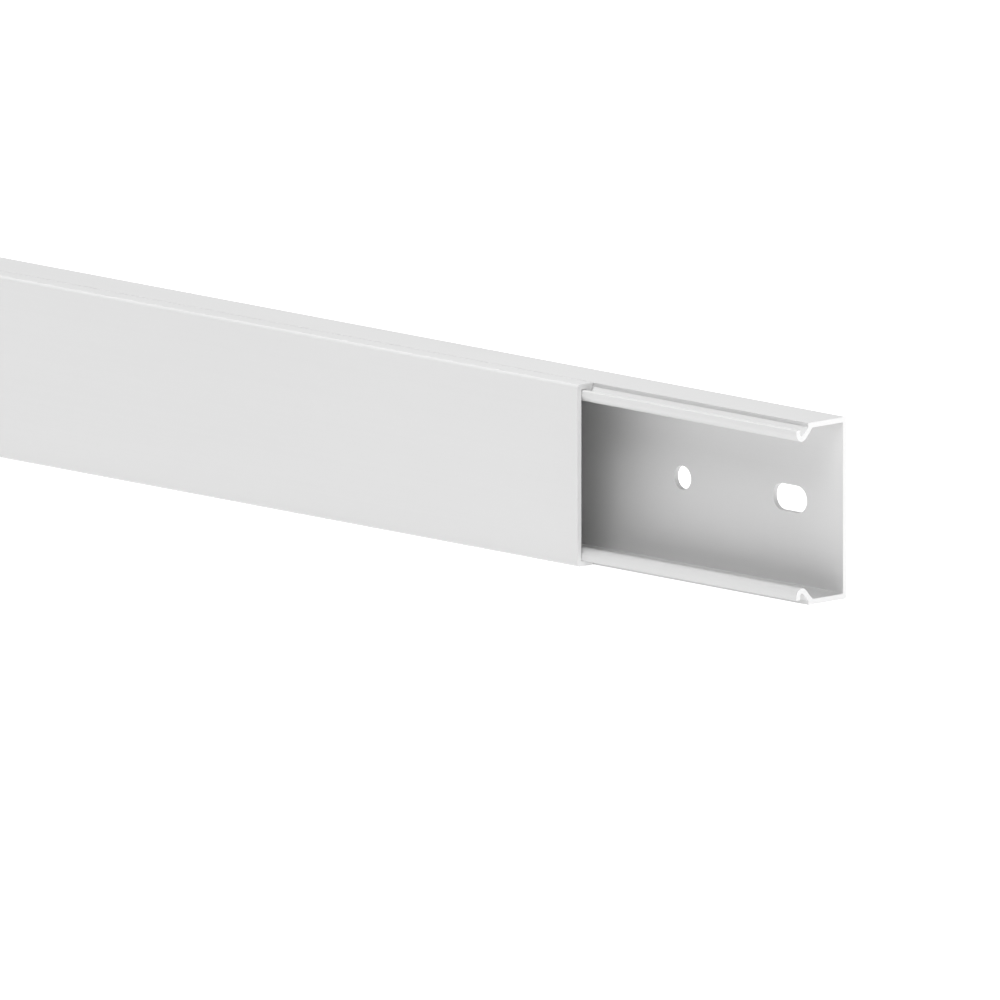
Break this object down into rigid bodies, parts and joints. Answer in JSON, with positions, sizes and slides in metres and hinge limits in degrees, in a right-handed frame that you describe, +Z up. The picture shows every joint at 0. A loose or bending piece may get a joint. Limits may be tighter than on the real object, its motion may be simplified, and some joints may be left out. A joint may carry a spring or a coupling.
{
  "type": "cable trunking",
  "caption": "Rectangular cable trunking: a channel with inward hooked lips at its mouth and a row of fixing holes in its back, closed by a flat clip-on lid set back from one end.",
  "frame": {"origin": "below the middle of the whole part, on the surface it stands on", "axes": "+X along the stock towards the channel's open end, +Y out of the back towards the wall, +Z up across the width"},
  "size_m": [2.084, 0.0206, 0.05],
  "materials": {
    "base_pvc": "satin extruded PVC, near white",
    "lid_pvc": "satin extruded PVC, near white"
  },
  "bodies": {
    "base": {"base_channel": "base_pvc"},
    "lid": {"clip_on_lid": "lid_pvc"}
  },
  "joints": [
    {"name": "lid_slide", "type": "slide", "parent": "base", "child": "lid", "axis": [1, 0, 0], "range_m": [-1.916, 0.084]}
  ]
}
